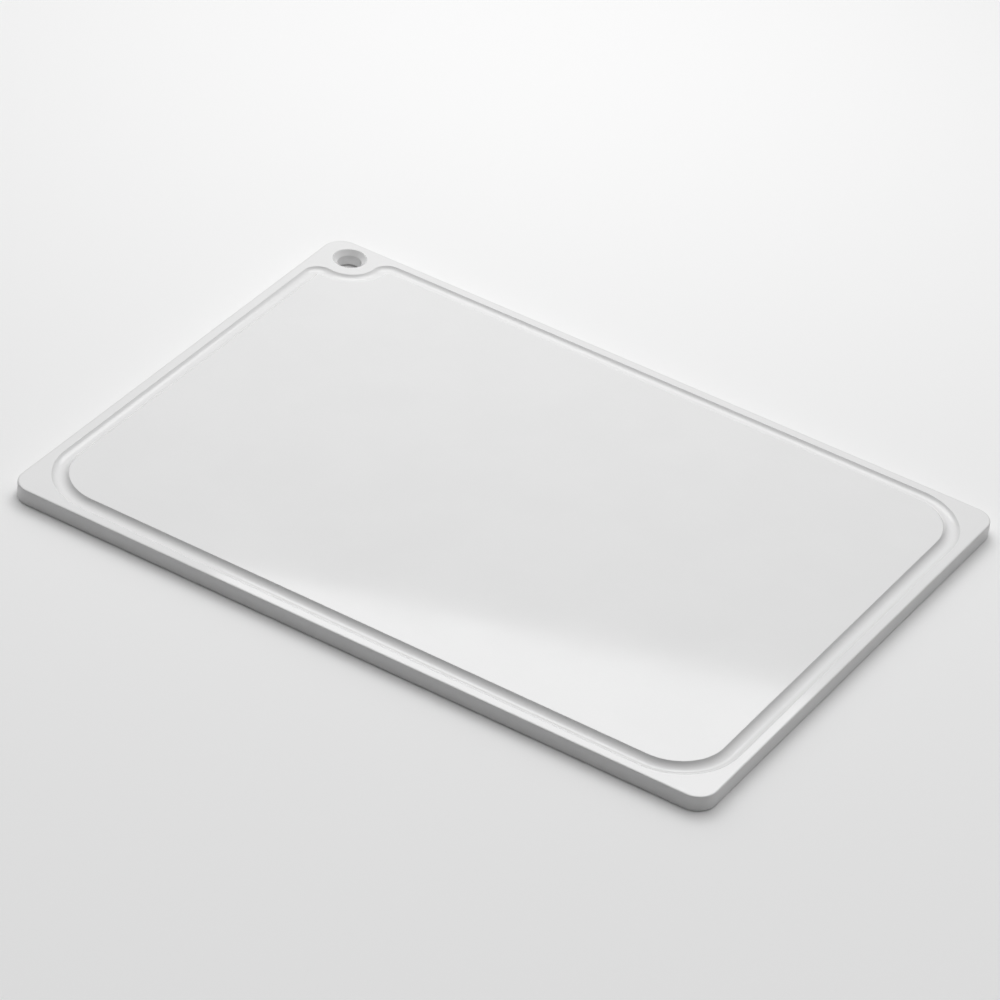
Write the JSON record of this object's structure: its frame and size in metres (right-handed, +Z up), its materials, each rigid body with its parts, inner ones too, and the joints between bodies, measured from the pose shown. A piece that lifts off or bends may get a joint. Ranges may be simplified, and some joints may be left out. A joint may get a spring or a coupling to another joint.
{
  "type": "cutting board",
  "caption": "Flat plastic cutting board with rounded corners, a round-bottomed juice groove round a slightly raised cutting area, and a chamfered hanging hole in a corner",
  "frame": {"origin": "centre of the underside's bounding box, on the surface the board lies on", "axes": "+Z up through the thickness, +X along the long sides, +Y along the short sides; the hanging hole is in the -X, +Y corner"},
  "size_m": [0.5, 0.365, 0.012],
  "materials": {
    "board": "glossy white plastic with smooth pressed faces and slightly duller milled groove and sides"
  },
  "bodies": {
    "root": {"board": "board"}
  },
  "joints": []
}
